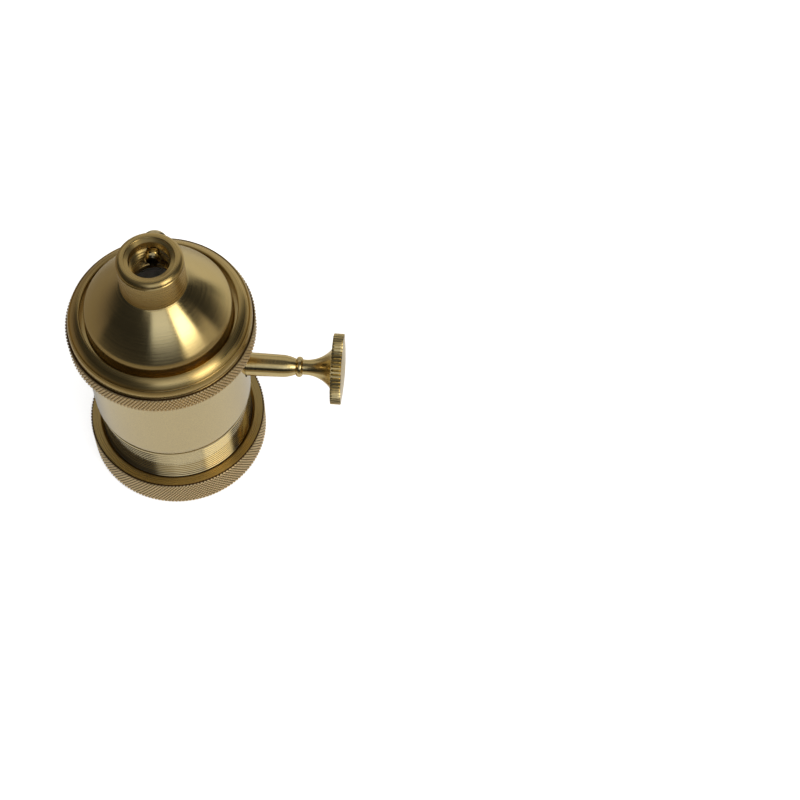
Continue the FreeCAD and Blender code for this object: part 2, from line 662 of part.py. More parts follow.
# fixed contact: flat on the pocket's floor, then up beside the blade
contactNear = f"({bladePlace} + sheetThickness + contactGap)"
contact = bent_strip("fixed_contact", [
    ("-rivetHeadRadius", pocketFloor),
    (f"{contactNear} + sheetThickness", pocketFloor),
    (f"{contactNear} + sheetThickness", f"{pocketFloor} + contactHeight"),
    (contactNear, f"{pocketFloor} + contactHeight"),
    (contactNear, f"{pocketFloor} + sheetThickness"),
    ("-rivetHeadRadius", f"{pocketFloor} + sheetThickness"),
], "tongueWidth", "-rivetPlace")
contactHole = make_sketch(contact, "XY_Plane", "RivetHole", pocketFloor)
circle(contactHole, "0", "0", "rivetRadius")
pocket(contact, contactHole, "sheetThickness")

# blade: hangs from the live terminal beside the cam
bladeTop = f"({coreTop} + terminalFloor)"
bent_strip("switch_blade", [
    (bladePlace, f"{pocketFloor} + sheetThickness + endPlay"),
    (f"{bladePlace} + sheetThickness", f"{pocketFloor} + sheetThickness + endPlay"),
    (f"{bladePlace} + sheetThickness", bladeTop),
    ("terminalInner + strapReach", bladeTop),
    ("terminalInner + strapReach", f"{bladeTop} + sheetThickness"),
    (bladePlace, f"{bladeTop} + sheetThickness"),
], "strapWidth", "-switchCentre")

# detent spring: leaf on the other side of the cam
bent_strip("detent_spring", [
    ("-pocketHalfWidth + slotClearance", pocketFloor),
    (f"-{bladePlace}", pocketFloor),
    (f"-{bladePlace}", f"{coreTop} - endPlay"),
    (f"-{bladePlace} - sheetThickness", f"{coreTop} - endPlay"),
    (f"-{bladePlace} - sheetThickness", f"{pocketFloor} + sheetThickness"),
    ("-pocketHalfWidth + slotClearance", f"{pocketFloor} + sheetThickness"),
], "strapWidth", "-switchCentre")

# neutral strap: from the screw shell's flange to the neutral terminal
bent_strip("neutral_strap", [
    (f"-{strapOuter} - strapFoot", webFoot),
    (f"-{strapOuter} + sheetThickness", webFoot),
    (f"-{strapOuter} + sheetThickness", f"{bladeTop} + sheetThickness"),
    ("-terminalInner - strapReach", f"{bladeTop} + sheetThickness"),
    ("-terminalInner - strapReach", bladeTop),
    (f"-{strapOuter}", bladeTop),
    (f"-{strapOuter}", f"{webFoot} + sheetThickness"),
    (f"-{strapOuter} - strapFoot", f"{webFoot} + sheetThickness"),
], "strapWidth", "-switchCentre")

# terminals: brass blocks with a wire hole and a screw from above
for side, pole in ((1, "live"), (-1, "neutral")):
    terminal = make_body(f"terminal_{pole}")
    outline = make_sketch(terminal, "XY_Plane", "Outline")
    draw(outline, rectangle(
        "-terminalWidth / 2", "terminalWidth / 2", "-terminalDepth / 2", "terminalDepth / 2"))
    pad(terminal, outline, "terminalHeight")
    wireHole = make_sketch(terminal, "YZ_Plane", "WireHole", "-terminalWidth / 2")
    circle(wireHole, "0", "wireHoleRadius + wireHoleFloor", "wireHoleRadius")
    pocket(terminal, wireHole, "terminalWidth")
    screwHole = make_sketch(terminal, "XY_Plane", "ScrewHole", "terminalHeight - terminalScrewLength")
    circle(screwHole, "0", "0", "terminalScrewRadius")
    pocket(terminal, screwHole, "terminalScrewLength")
    terminalY = f"({side} * (terminalInner + terminalDepth / 2))"
    place(terminal, "-switchCentre", terminalY, terminalFoot)
    slotted_screw(f"terminal_screw_{pole}", "terminalScrewRadius", "terminalScrewHead", "terminalScrewLength",
                  "-switchCentre", terminalY, total(terminalFoot, "terminalHeight"))

doc.recompute()
for item in doc.Objects:
    if "Invalid" in item.State or "Error" in item.State:
        raise RuntimeError(f"{item.Label} is in state {item.State}")
bodies = [item for item in doc.Objects if item.TypeId == "PartDesign::Body"]
for body in bodies:
    if body.Shape.isNull() or not body.Shape.isValid() or not body.Shape.Solids:
        raise RuntimeError(f"{body.Label} has no valid solid")
for body in bodies:
    body.Shape.exportStep(f"parts/{body.Label}.step")
    print(body.Label, len(body.Shape.Solids), round(body.Shape.Volume, 1))
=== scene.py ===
import math

import bpy
import numpy as np
from mathutils import Matrix, Vector


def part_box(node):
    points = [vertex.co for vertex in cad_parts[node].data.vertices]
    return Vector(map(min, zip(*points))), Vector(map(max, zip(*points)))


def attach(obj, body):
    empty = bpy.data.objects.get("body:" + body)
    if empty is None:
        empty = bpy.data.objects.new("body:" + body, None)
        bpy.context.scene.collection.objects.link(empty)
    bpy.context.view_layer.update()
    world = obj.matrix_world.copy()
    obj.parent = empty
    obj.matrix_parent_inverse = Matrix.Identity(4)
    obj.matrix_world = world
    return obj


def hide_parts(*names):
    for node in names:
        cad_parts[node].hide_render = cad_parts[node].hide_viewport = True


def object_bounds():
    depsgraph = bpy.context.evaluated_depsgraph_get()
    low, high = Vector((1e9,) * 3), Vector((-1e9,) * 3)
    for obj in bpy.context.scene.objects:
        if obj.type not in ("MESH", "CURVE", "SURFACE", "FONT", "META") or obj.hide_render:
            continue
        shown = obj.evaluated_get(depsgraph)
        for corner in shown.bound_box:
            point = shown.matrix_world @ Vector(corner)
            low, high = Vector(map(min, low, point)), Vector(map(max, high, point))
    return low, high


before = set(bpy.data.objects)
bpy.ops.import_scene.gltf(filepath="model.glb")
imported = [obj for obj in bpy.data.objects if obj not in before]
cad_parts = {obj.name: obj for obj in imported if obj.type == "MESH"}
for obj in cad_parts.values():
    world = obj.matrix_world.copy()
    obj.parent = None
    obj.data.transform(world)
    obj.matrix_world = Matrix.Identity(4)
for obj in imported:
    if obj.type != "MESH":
        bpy.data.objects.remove(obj)        # cad_parts holds the solids by name
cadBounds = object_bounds()  # the CAD box, before any piece is added
scene = bpy.context.scene
mm = 0.001               # every size below is in millimetres, meshes are in metres
fullTurn = 2 * math.pi
sharpAngle = 32          # degrees; flatter edges shade smooth
print("frame loaded,", len(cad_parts), "nodes")


def boxMm(nodeName):
    low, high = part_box(nodeName)
    return [value / mm for value in low], [value / mm for value in high]


def linearColour(hexText):
    # sRGB hex to the linear values that the shaders take
    channels = [int(hexText[i:i + 2], 16) / 255 for i in (1, 3, 5)]
    lit = [c / 12.92 if c <= 0.04045 else ((c + 0.055) / 1.055) ** 2.4 for c in channels]
    return (*lit, 1.0)


def addNode(tree, kind, inputs=None, **settings):
    # adds a node; an input given as a socket is linked, any other value is set
    node = tree.nodes.new(kind)
    for key, value in settings.items():
        setattr(node, key, value)
    for key, value in (inputs or {}).items():
        if isinstance(value, bpy.types.NodeSocket):
            tree.links.new(value, node.inputs[key])
        else:
            node.inputs[key].default_value = value
    return node


def newMaterial(name):
    material = bpy.data.materials.new(name)
    material.use_nodes = True
    return material, material.node_tree, material.node_tree.nodes["Principled BSDF"]


def turnedPlace(tree):
    # radius from the piece's own axis, height along it, and the turn about it in radians
    spot = addNode(tree, "ShaderNodeTexCoord").outputs["Object"]
    parts = addNode(tree, "ShaderNodeSeparateXYZ", {0: spot})
    flat = addNode(tree, "ShaderNodeCombineXYZ", {0: parts.outputs[0], 1: parts.outputs[1], 2: 0.0})
    radius = addNode(tree, "ShaderNodeVectorMath", {0: flat.outputs[0]}, operation="LENGTH")
    turn = addNode(tree, "ShaderNodeMath", {0: parts.outputs[1], 1: parts.outputs[0]}, operation="ARCTAN2")
    return radius.outputs["Value"], parts.outputs[2], turn.outputs[0]


def perSize(size):
    # noise scale for patches of this size
    return 1 / (size * mm)


def turnedLines(tree, spacing, waver):
    # noise that is long round the axis and short across it, as a lathe tool or abrasive leaves
    radius, height, turn = turnedPlace(tree)
    across = addNode(tree, "ShaderNodeMath", {0: radius, 1: perSize(spacing)}, operation="MULTIPLY")
    along = addNode(tree, "ShaderNodeMath", {0: height, 1: perSize(spacing)}, operation="MULTIPLY")
    around = addNode(tree, "ShaderNodeMath", {0: turn, 1: waver}, operation="MULTIPLY")
    spot = addNode(tree, "ShaderNodeCombineXYZ", {
        0: across.outputs[0], 1: along.outputs[0], 2: around.outputs[0]})
    lines = addNode(tree, "ShaderNodeTexNoise", {
        "Vector": spot.outputs[0], "Scale": 1.0, "Detail": 3.0, "Roughness": 0.6})
    return lines.outputs["Fac"]


def arcTo(path, end, radius, turn, count=8):
    # adds points along the short arc from the path's last point to end
    start, end = np.array(path[-1], float), np.array(end, float)
    chord = end - start
    half = np.hypot(*chord) / 2
    side = np.array([-chord[1], chord[0]]) / (2 * half) * (1 if turn == "left" else -1)
    centre = (start + end) / 2 + side * math.sqrt(max(radius ** 2 - half ** 2, 0))
    first = math.atan2(*(start - centre)[::-1])
    sweep = math.atan2(*(end - centre)[::-1]) - first
    sweep = (sweep + math.pi) % fullTurn - math.pi
    for i in range(1, count + 1):
        angle = first + sweep * i / count
        path.append((centre[0] + radius * math.cos(angle), centre[1] + radius * math.sin(angle)))
    return path


def straightTo(path, end, count=1):
    start = np.array(path[-1], float)
    for i in range(1, count + 1):
        path.append(tuple(start + (np.array(end, float) - start) * i / count))
    return path


def threadTo(path, end, pitch, depth, form):
    # adds rows that climb one pitch in each turn; form is the profile as (part of a pitch, part of depth).
    # Gives back what turnedPiece needs to join the rows where a turn ends
    radius, start = path[-1]
    rising = end > start
    low, high = min(start, end), max(start, end) - pitch
    rows = []
    for turn in range(int((high - low) / pitch)):
        for part, cut in form:
            rows.append((low + (turn + part) * pitch, cut))
    fade = len(form)
    shaped = []
    for i, (height, cut) in enumerate(rows):
        cut *= min(1.0, i / fade, (len(rows) - 1 - i) / fade)
        shaped.append((radius + depth * cut, height))
    first = len(path)
    path.extend(shaped if rising else reversed(shaped))
    path.append((radius, end))
    return {"first": first, "last": first + len(shaped) - 1, "perTurn": len(form), "pitch": pitch,
            "rising": rising}


def seamFaces(thread, around):
    # joins each row, at the end of its turn, to the row that stands a pitch further on
    first, last, step, edge = thread["first"], thread["last"], thread["perTurn"], around - 1
    ahead, behind = (step, 0) if thread["rising"] else (0, step)

    def at(row, column):
        return row * around + column

    faces = []
    for row in range(first, last - step):
        lower, upper = row + behind, row + ahead
        faces.append((at(lower, edge), at(upper, 0), at(upper + 1, 0), at(lower + 1, edge)))
    startLeft = [at(row, edge) for row in range(first + behind, first - 1, -1)]
    startRight = [at(row, 0) for row in range(first, first + ahead + 1)]
    faces.append([at(first - 1, edge), at(first - 1, 0)] + startRight + startLeft)
    endRight = [at(row, 0) for row in range(last - behind, last + 2)]
    endLeft = [at(row, edge) for row in range(last + 1, last - ahead, -1)]
    faces.append([at(last - ahead, edge)] + endRight + endLeft)
    return faces


def turnedPiece(name, path, around, relief=None, closed=True, knurlRows=range(0), thread=None):
    # turns a path of (radius, height) about the local Z axis; relief(turns, row, height) adds to the
    # radius. In the knurled rows each square is split along its groove, so crisp diamonds stand there
    turns = np.arange(around) * fullTurn / around
    tieBreak = 0.001         # where both diagonals are level, the lower one is the groove
    threadRows = range(thread["first"], thread["last"] + 1) if thread else range(0)
    rows, reach = [], []
    for row, (radius, height) in enumerate(path):
        radii = np.full(around, float(radius))
        heights = np.full(around, float(height))
        if relief is not None:
            radii = radii + relief(turns, row, height)
        if row in threadRows:
            heights += turns / fullTurn * thread["pitch"]
        rows.append(np.stack([radii * np.cos(turns), radii * np.sin(turns), heights], 1))
        reach.append(radii)
    verts = np.concatenate(rows) * mm
    count = len(path)
    faces = []
    for row in range(count if closed else count - 1):
        below, above = row * around, ((row + 1) % count) * around
        inThread = row in threadRows or row + 1 in threadRows
        for k in range(around - 1 if inThread else around):
            following = (k + 1) % around
            square = (below + k, below + following, above + following, above + k)
            if row not in knurlRows or row + 1 not in knurlRows:
                faces.append(square)
                continue
            foot, head = reach[row], reach[row + 1]
            rise = abs(foot[k] - head[following]) + foot[k] * tieBreak
            fall = abs(foot[following] - head[k]) + foot[following] * tieBreak
            if rise < fall:
                faces.extend([square[:3], (square[0], square[2], square[3])])
            else:
                faces.extend([(square[0], square[1], square[3]), (square[1], square[2], square[3])])
    if thread:
        faces.extend(seamFaces(thread, around))
    if not closed:
        faces.append(tuple(reversed(range(around))))
        faces.append(tuple(range((count - 1) * around, count * around)))
    mesh = bpy.data.meshes.new(name)
    mesh.from_pydata(verts.tolist(), [], faces)
    mesh.update()
    smoothShade(mesh)
    return placePiece(name, mesh)


def smoothShade(mesh):
    mesh.polygons.foreach_set("use_smooth", [True] * len(mesh.polygons))
    mesh.set_sharp_from_angle(angle=math.radians(sharpAngle))


def placePiece(name, mesh):
    piece = bpy.data.objects.new(name, mesh)
    scene.collection.objects.link(piece)
    return piece


def cutAway(piece, cutter):
    # boolean, applied at once, so no modifier stays on the piece
    modifier = piece.modifiers.new("cut", "BOOLEAN")
    modifier.operation = "DIFFERENCE"
    modifier.solver = "EXACT"
    modifier.object = cutter
    view = bpy.context.evaluated_depsgraph_get()
    mesh = bpy.data.meshes.new_from_object(piece.evaluated_get(view))
    piece.modifiers.clear()
    piece.data = mesh
    smoothShade(mesh)
    bpy.data.objects.remove(cutter)


def dress(piece, material, body, slot, *nodes):
    piece.data.materials.clear()
    piece.data.materials.append(material)
    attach(piece, body)
    if nodes:
        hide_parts(*nodes)


def splitFinish(piece, material, lowHeight, highHeight, minRadius, maxRadius=1000):
    # a stretch between two heights and two radii gets its own finish, on the same piece
    piece.data.materials.append(material)
    for face in piece.data.polygons:
        spot = face.center / mm
        if lowHeight < spot.z < highHeight and minRadius < math.hypot(spot.x, spot.y) < maxRadius:
            face.material_index = len(piece.data.materials) - 1


def ridge(turn, pitch):
    # 0 in a groove, 1 on the crest between two grooves
    return 1 - np.abs(2 * ((turn / pitch) % 1) - 1)


# one pitch of a thread, as (part of the pitch, part of the depth)
cutThread = [(0.0, 0), (0.14, 0), (0.44, 1), (0.70, 1)]
rolledThread = [(0.0, 0), (0.42, 0), (0.62, 1), (0.80, 1)]     # broad crests, as on a thin sleeve

# camera: the photograph's angle, with the holder at the left of the frame
camera = {
    "focalPixels": 1724, "framePixels": 800, "sensor": 36, "nearest": 10,
    "azimuth": 1.29, "elevation": 60.66, "roll": 2.25,      # degrees
    "distance": 472.8, "across": -59.98, "above": -7.46,    # where the origin lies from the lens
}
aside, lift, roll = (math.radians(camera[key]) for key in ("azimuth", "elevation", "roll"))
right = Vector((math.cos(aside), math.sin(aside), 0))
forward = Vector((-math.sin(aside) * math.cos(lift), math.cos(aside) * math.cos(lift), -math.sin(lift)))
upward = right.cross(forward)
rightRolled = math.cos(roll) * right + math.sin(roll) * upward
upRolled = math.cos(roll) * upward - math.sin(roll) * right
eye = -(camera["across"] * rightRolled + camera["above"] * upRolled + camera["distance"] * forward) * mm
lens = bpy.data.cameras.new("photoCamera")
lens.sensor_width = camera["sensor"]
lens.lens = camera["focalPixels"] / camera["framePixels"] * camera["sensor"]
lens.clip_start = camera["nearest"] * mm
cameraObject = placePiece("photoCamera", lens)
cameraObject.matrix_world = Matrix((
    (rightRolled.x, upRolled.x, -forward.x, eye.x),
    (rightRolled.y, upRolled.y, -forward.y, eye.y),
    (rightRolled.z, upRolled.z, -forward.z, eye.z),
    (0, 0, 0, 1)))
scene.camera = cameraObject
scene.view_settings.view_transform = "Standard"
print("camera placed")

# studio: a dim room with soft panels, which the brass shows as its bright and dark bands
studio = {
    "room": 0.025, "overhead": 0.12, "overheadFrom": 35, "overheadFull": 75,
    # azimuth from the front, elevation, half width, half height (degrees), softness, strength, colour
    "panels": [
        ("key", 55, 34, 14, 11, 3, 4.2, "#FFFBEE"),
        ("keyTop", 60, 54, 20, 9, 4, 1.4, "#FFF8E2"),
        ("keyFoot", 64, 13, 26, 7, 5, 0.60, "#FFF3DC"),
        ("strip", 15, 41, 20, 12, 6, 1.15, "#E6EEFF"),
        ("stripTop", 4, 59, 34, 7, 5, 0.55, "#FFFFFF"),
        ("side", 102, -2, 24, 5, 3, 0.40, "#FFF3E0"),
        ("back", 184, 37, 48, 22, 10, 0.52, "#F6F2E8"),
        ("horizon", 172, 0, 32, 9, 6, 0.80, "#FBF8F0"),
        ("leftSide", -112, -2, 34, 12, 6, 0.22, "#F2DCC4"),
    ],
}


def buildWorld():
    world = bpy.data.worlds.new("studio")
    scene.world = world
    world.use_nodes = True
    tree = world.node_tree
    tree.nodes.clear()
    spot = addNode(tree, "ShaderNodeTexCoord").outputs["Generated"]
    spot = addNode(tree, "ShaderNodeVectorMath", {0: spot}, operation="NORMALIZE").outputs[0]
    parts = addNode(tree, "ShaderNodeSeparateXYZ", {0: spot})
    elevation = addNode(tree, "ShaderNodeMath", {0: parts.outputs[2]}, operation="ARCSINE").outputs[0]
    flat = addNode(tree, "ShaderNodeCombineXYZ", {0: parts.outputs[0], 1: parts.outputs[1], 2: 0.0})
    heading = addNode(tree, "ShaderNodeVectorMath", {0: flat.outputs[0]}, operation="NORMALIZE").outputs[0]
    overhead = addNode(tree, "ShaderNodeMapRange", {
        0: elevation, 1: math.radians(studio["overheadFrom"]), 2: math.radians(studio["overheadFull"]),
        3: studio["room"], 4: studio["overhead"]}, interpolation_type="SMOOTHSTEP").outputs[0]
    light = addNode(tree, "ShaderNodeCombineXYZ", {0: overhead, 1: overhead, 2: overhead}).outputs[0]
    for name, azimuth, height, halfWidth, halfHeight, softness, strength, colour in studio["panels"]:
        facing = (math.sin(math.radians(azimuth)), -math.cos(math.radians(azimuth)), 0)
        turned = addNode(tree, "ShaderNodeVectorMath", {0: heading, 1: facing}, operation="DOT_PRODUCT")
        wide = addNode(tree, "ShaderNodeMapRange", {
            0: turned.outputs["Value"], 1: math.cos(math.radians(halfWidth + softness)),
            2: math.cos(math.radians(max(halfWidth - softness, 0))), 3: 0.0, 4: 1.0},
            interpolation_type="SMOOTHSTEP").outputs[0]
        offset = addNode(tree, "ShaderNodeMath", {
            0: elevation, 1: math.radians(height)}, operation="SUBTRACT").outputs[0]
        offset = addNode(tree, "ShaderNodeMath", {0: offset}, operation="ABSOLUTE").outputs[0]
        tall = addNode(tree, "ShaderNodeMapRange", {
            0: offset, 1: math.radians(halfHeight + softness), 2: math.radians(halfHeight - softness),
            3: 0.0, 4: strength}, interpolation_type="SMOOTHSTEP").outputs[0]
        panel = addNode(tree, "ShaderNodeMath", {0: wide, 1: tall}, operation="MULTIPLY").outputs[0]
        tint = addNode(tree, "ShaderNodeVectorMath", {
            0: linearColour(colour)[:3], "Scale": panel}, operation="SCALE").outputs[0]
        light = addNode(tree, "ShaderNodeVectorMath", {0: light, 1: tint}, operation="ADD").outputs[0]
    room = addNode(tree, "ShaderNodeBackground", {"Color": light, "Strength": 1.0})
    white = addNode(tree, "ShaderNodeBackground", {"Color": linearColour("#FFFFFF"), "Strength": 1.0})
    path = addNode(tree, "ShaderNodeLightPath")
    both = addNode(tree, "ShaderNodeMixShader", {
        0: path.outputs["Is Camera Ray"], 1: room.outputs[0], 2: white.outputs[0]})
    addNode(tree, "ShaderNodeOutputWorld", {0: both.outputs[0]})


buildWorld()

# one wide soft lamp above gives paper and porcelain their written colour; the metal shows only the panels
softLamp = {"size": 500, "height": 620, "forward": -160, "across": 120, "power": 1.75}
lamp = bpy.data.lights.new("softLamp", "AREA")
lamp.size = softLamp["size"] * mm
lamp.energy = softLamp["power"]
lampObject = placePiece("softLamp", lamp)
lampObject.location = Vector((softLamp["across"], softLamp["forward"], softLamp["height"])) * mm
lampObject.rotation_euler = (-lampObject.location).to_track_quat("-Z", "Y").to_euler()
lampObject.visible_glossy = False

table = {
    "halfWidth": 1500, "paper": "#F6F6F6", "cameraLift": 0.66,
    # what the metal sees of the room's floor: white paper up to near, a drab bench past far,
    # and a pale patch behind on the right
    "near": 62, "far": 125, "bench": "#8C8270", "nearLift": 0.04,
    "patch": "#D0CCBE", "patchAzimuth": 160, "patchInner": 28, "patchOuter": 62, "patchStart": 130,
}


def buildTable():
    # white paper that the holder stands on; it keeps the shadow and shows pale in the metal nearby
    half = table["halfWidth"] * mm
    corners = [(-half, -half, 0), (half, -half, 0), (half, half, 0), (-half, half, 0)]
    mesh = bpy.data.meshes.new("table")
    mesh.from_pydata(corners, [], [(0, 1, 2, 3)])
    floor = placePiece("table", mesh)
    floor.location.z = cadBounds[0][2]
    material, tree, shader = newMaterial("whitePaper")
    tree.nodes.remove(shader)
    radius, height, turn = turnedPlace(tree)
    path = addNode(tree, "ShaderNodeLightPath")
    paper = addNode(tree, "ShaderNodeBsdfDiffuse", {"Color": linearColour(table["paper"])})
    nearby = addNode(tree, "ShaderNodeMapRange", {
        0: radius, 1: table["near"] * mm, 2: table["far"] * mm, 3: 1.0, 4: 0.0},
        interpolation_type="SMOOTHSTEP")
    # the pale patch, by how far a spot lies from its heading
    azimuth = math.radians(table["patchAzimuth"])
    spot = addNode(tree, "ShaderNodeTexCoord").outputs["Object"]
    heading = addNode(tree, "ShaderNodeVectorMath", {0: spot}, operation="NORMALIZE")
    aim = addNode(tree, "ShaderNodeVectorMath", {
        0: heading.outputs[0], 1: (math.sin(azimuth), -math.cos(azimuth), 0)}, operation="DOT_PRODUCT")
    patch = addNode(tree, "ShaderNodeMapRange", {
        0: aim.outputs["Value"], 1: math.cos(math.radians(table["patchOuter"])),
        2: math.cos(math.radians(table["patchInner"])), 3: 0.0, 4: 1.0}, interpolation_type="SMOOTHSTEP")
    outside = addNode(tree, "ShaderNodeMath", {
        0: radius, 1: table["patchStart"] * mm}, operation="GREATER_THAN").outputs[0]
    patch = addNode(tree, "ShaderNodeMath", {0: patch.outputs[0], 1: outside}, operation="MULTIPLY")
    bench = addNode(tree, "ShaderNodeMix", {
        "Factor": patch.outputs[0], "A": linearColour(table["bench"]), "B": linearColour(table["patch"])},
        data_type="RGBA")
    lift = addNode(tree, "ShaderNodeMapRange", {
        0: path.outputs["Is Camera Ray"], 1: 0.0, 2: 1.0, 3: table["nearLift"], 4: table["cameraLift"]})
    paperGlow = addNode(tree, "ShaderNodeEmission", {
        "Color": linearColour("#FFFFFF"), "Strength": lift.outputs[0]})
    shown = addNode(tree, "ShaderNodeAddShader", {0: paper.outputs[0], 1: paperGlow.outputs[0]})
    benchGlow = addNode(tree, "ShaderNodeEmission", {"Color": bench.outputs["Result"], "Strength": 1.0})
    inMetal = addNode(tree, "ShaderNodeMath", {
        0: path.outputs["Is Glossy Ray"], 1: path.outputs["Is Transmission Ray"]}, operation="MAXIMUM")
    farAway = addNode(tree, "ShaderNodeMath", {0: 1.0, 1: nearby.outputs[0]}, operation="SUBTRACT")
    farInMetal = addNode(tree, "ShaderNodeMath", {
        0: farAway.outputs[0], 1: inMetal.outputs[0]}, operation="MULTIPLY")
    ground = addNode(tree, "ShaderNodeMixShader", {
        0: farInMetal.outputs[0], 1: shown.outputs[0], 2: benchGlow.outputs[0]})
    tree.links.new(ground.outputs[0], tree.nodes["Material Output"].inputs["Surface"])
    mesh.materials.append(material)


buildTable()
print("studio built")


def spunSheen(tree, shader, amount):
    # draws the highlights out across the turned lines
    shader.inputs["Anisotropic"].default_value = amount
    shader.inputs["Anisotropic Rotation"].default_value = 0.25
    tangent = addNode(tree, "ShaderNodeTangent", direction_type="RADIAL", axis="Z")
    tree.links.new(tangent.outputs[0], shader.inputs["Tangent"])


def brushedBrass():
    # CZ121 brass, turned, then brushed round with a fine abrasive belt: a satin face whose
    # highlights are drawn out into bands from the neck to the edge
    material, tree, shader = newMaterial("brushedBrass")
    lines = turnedLines(tree, 0.28, 0.6)      # belt lines are 0.05 mm apart, drawn coarser to show
    tone = addNode(tree, "ShaderNodeMix", {
        "Factor": lines, "A": linearColour("#CFB67C"), "B": linearColour("#DECA94")}, data_type="RGBA")
    tree.links.new(tone.outputs["Result"], shader.inputs["Base Color"])
    rough = addNode(tree, "ShaderNodeMapRange", {0: lines, 1: 0.3, 2: 0.7, 3: 0.17, 4: 0.26})
    tree.links.new(rough.outputs[0], shader.inputs["Roughness"])
    shader.inputs["Metallic"].default_value = 1.0
    spunSheen(tree, shader, 0.8)
    relief = addNode(tree, "ShaderNodeBump", {"Strength": 0.25, "Distance": 0.04 * mm, "Height": lines})
    tree.links.new(relief.outputs[0], shader.inputs["Normal"])
    return material


def polishedBrass():
    # the same brass, buffed on a mop: a near mirror that takes the paper's white as a pale champagne,
    # with faint hairlines and a slight haze
    material, tree, shader = newMaterial("polishedBrass")
    lines = turnedLines(tree, 0.2, 0.4)       # hairlines, drawn about four times too coarse
    haze = addNode(tree, "ShaderNodeTexNoise", {"Scale": perSize(11.11), "Detail": 4.0})
    haze = addNode(tree, "ShaderNodeMapRange", {0: haze.outputs["Fac"], 1: 0.35, 2: 0.7, 3: 0.07, 4: 0.13})
    tree.links.new(haze.outputs[0], shader.inputs["Roughness"])
    stain = addNode(tree, "ShaderNodeTexNoise", {"Scale": perSize(6.25), "Detail": 3.0})
    stain = addNode(tree, "ShaderNodeMapRange", {0: stain.outputs["Fac"], 1: 0.35, 2: 0.65, 3: 0.0, 4: 1.0})
    tone = addNode(tree, "ShaderNodeMix", {
        "Factor": stain.outputs[0], "A": linearColour("#C8B68E"), "B": linearColour("#D6C494")},
        data_type="RGBA")
    tree.links.new(tone.outputs["Result"], shader.inputs["Base Color"])
    shader.inputs["Metallic"].default_value = 1.0
    relief = addNode(tree, "ShaderNodeBump", {"Strength": 0.04, "Distance": 0.02 * mm, "Height": lines})
    tree.links.new(relief.outputs[0], shader.inputs["Normal"])
    return material


knurl = {"root": 23.0, "paintedShadeEnd": 23.26}      # radii at the grooves, and where their painted shade ends


def knurledBrass():
    # brass pressed by a knurling wheel: many small torn faces, so it looks matte, with painted shade: dark
    # brown painted into the grooves
    material, tree, shader = newMaterial("knurledBrass")
    grain = addNode(tree, "ShaderNodeTexNoise", {"Scale": perSize(0.4), "Detail": 2.0})
    tone = addNode(tree, "ShaderNodeMix", {
        "Factor": grain.outputs["Fac"], "A": linearColour("#D6BA88"), "B": linearColour("#F6E2B8")},
        data_type="RGBA")
    radius, height, turn = turnedPlace(tree)
    # painted shade: the colour turns dark brown towards the groove roots, by radius alone
    paintedGrooveShade = addNode(tree, "ShaderNodeMapRange", {
        0: radius, 1: knurl["root"] * mm, 2: knurl["paintedShadeEnd"] * mm, 3: 1.0, 4: 0.0})
    tone = addNode(tree, "ShaderNodeMix", {
        "Factor": paintedGrooveShade.outputs[0], "A": tone.outputs["Result"], "B": linearColour("#4A3219")},
        data_type="RGBA")
    tree.links.new(tone.outputs["Result"], shader.inputs["Base Color"])
    rough = addNode(tree, "ShaderNodeMapRange", {0: grain.outputs["Fac"], 1: 0.3, 2: 0.7, 3: 0.34, 4: 0.52})
    tree.links.new(rough.outputs[0], shader.inputs["Roughness"])
    shader.inputs["Metallic"].default_value = 1.0
    return material


def turnedBrass():
    # brass as the lathe tool leaves it: fine rings and a dull sheen, warmer than the brushed dome
    material, tree, shader = newMaterial("turnedBrass")
    lines = turnedLines(tree, 0.3, 0.3)       # tool marks are 0.1 mm apart, drawn coarser to show
    tone = addNode(tree, "ShaderNodeMix", {
        "Factor": lines, "A": linearColour("#BDA064"), "B": linearColour("#D2BA80")}, data_type="RGBA")
    tree.links.new(tone.outputs["Result"], shader.inputs["Base Color"])
    rough = addNode(tree, "ShaderNodeMapRange", {0: lines, 1: 0.3, 2: 0.7, 3: 0.24, 4: 0.34})
    tree.links.new(rough.outputs[0], shader.inputs["Roughness"])
    shader.inputs["Metallic"].default_value = 1.0
    spunSheen(tree, shader, 0.7)
    relief = addNode(tree, "ShaderNodeBump", {"Strength": 0.14, "Distance": 0.05 * mm, "Height": lines})
    tree.links.new(relief.outputs[0], shader.inputs["Normal"])
    return material


def rolledBrass():
    # thin brass sheet, rolled bright: warmer and yellower than the turned pieces
    material, tree, shader = newMaterial("rolledBrass")
    stain = addNode(tree, "ShaderNodeTexNoise", {"Scale": perSize(3.846), "Detail": 5.0})
    tone = addNode(tree, "ShaderNodeMix", {
        "Factor": stain.outputs["Fac"], "A": linearColour("#C79A48"), "B": linearColour("#DDB866")},
        data_type="RGBA")
    tree.links.new(tone.outputs["Result"], shader.inputs["Base Color"])
    rough = addNode(tree, "ShaderNodeMapRange", {0: stain.outputs["Fac"], 1: 0.3, 2: 0.7, 3: 0.16, 4: 0.28})
    tree.links.new(rough.outputs[0], shader.inputs["Roughness"])
    shader.inputs["Metallic"].default_value = 1.0
    return material


def zincedSteel():
    # steel with a thin zinc plate: cool grey, slightly cloudy
    material, tree, shader = newMaterial("zincedSteel")
    cloud = addNode(tree, "ShaderNodeTexNoise", {"Scale": perSize(1.4286), "Detail": 4.0})
    rough = addNode(tree, "ShaderNodeMapRange", {0: cloud.outputs["Fac"], 1: 0.3, 2: 0.7, 3: 0.22, 4: 0.4})
    tree.links.new(rough.outputs[0], shader.inputs["Roughness"])
    tone = addNode(tree, "ShaderNodeMix", {
        "Factor": cloud.outputs["Fac"], "A": linearColour("#B4B5B3"), "B": linearColour("#CDCDC8")},
        data_type="RGBA")
    tree.links.new(tone.outputs["Result"], shader.inputs["Base Color"])
    shader.inputs["Metallic"].default_value = 1.0
    return material


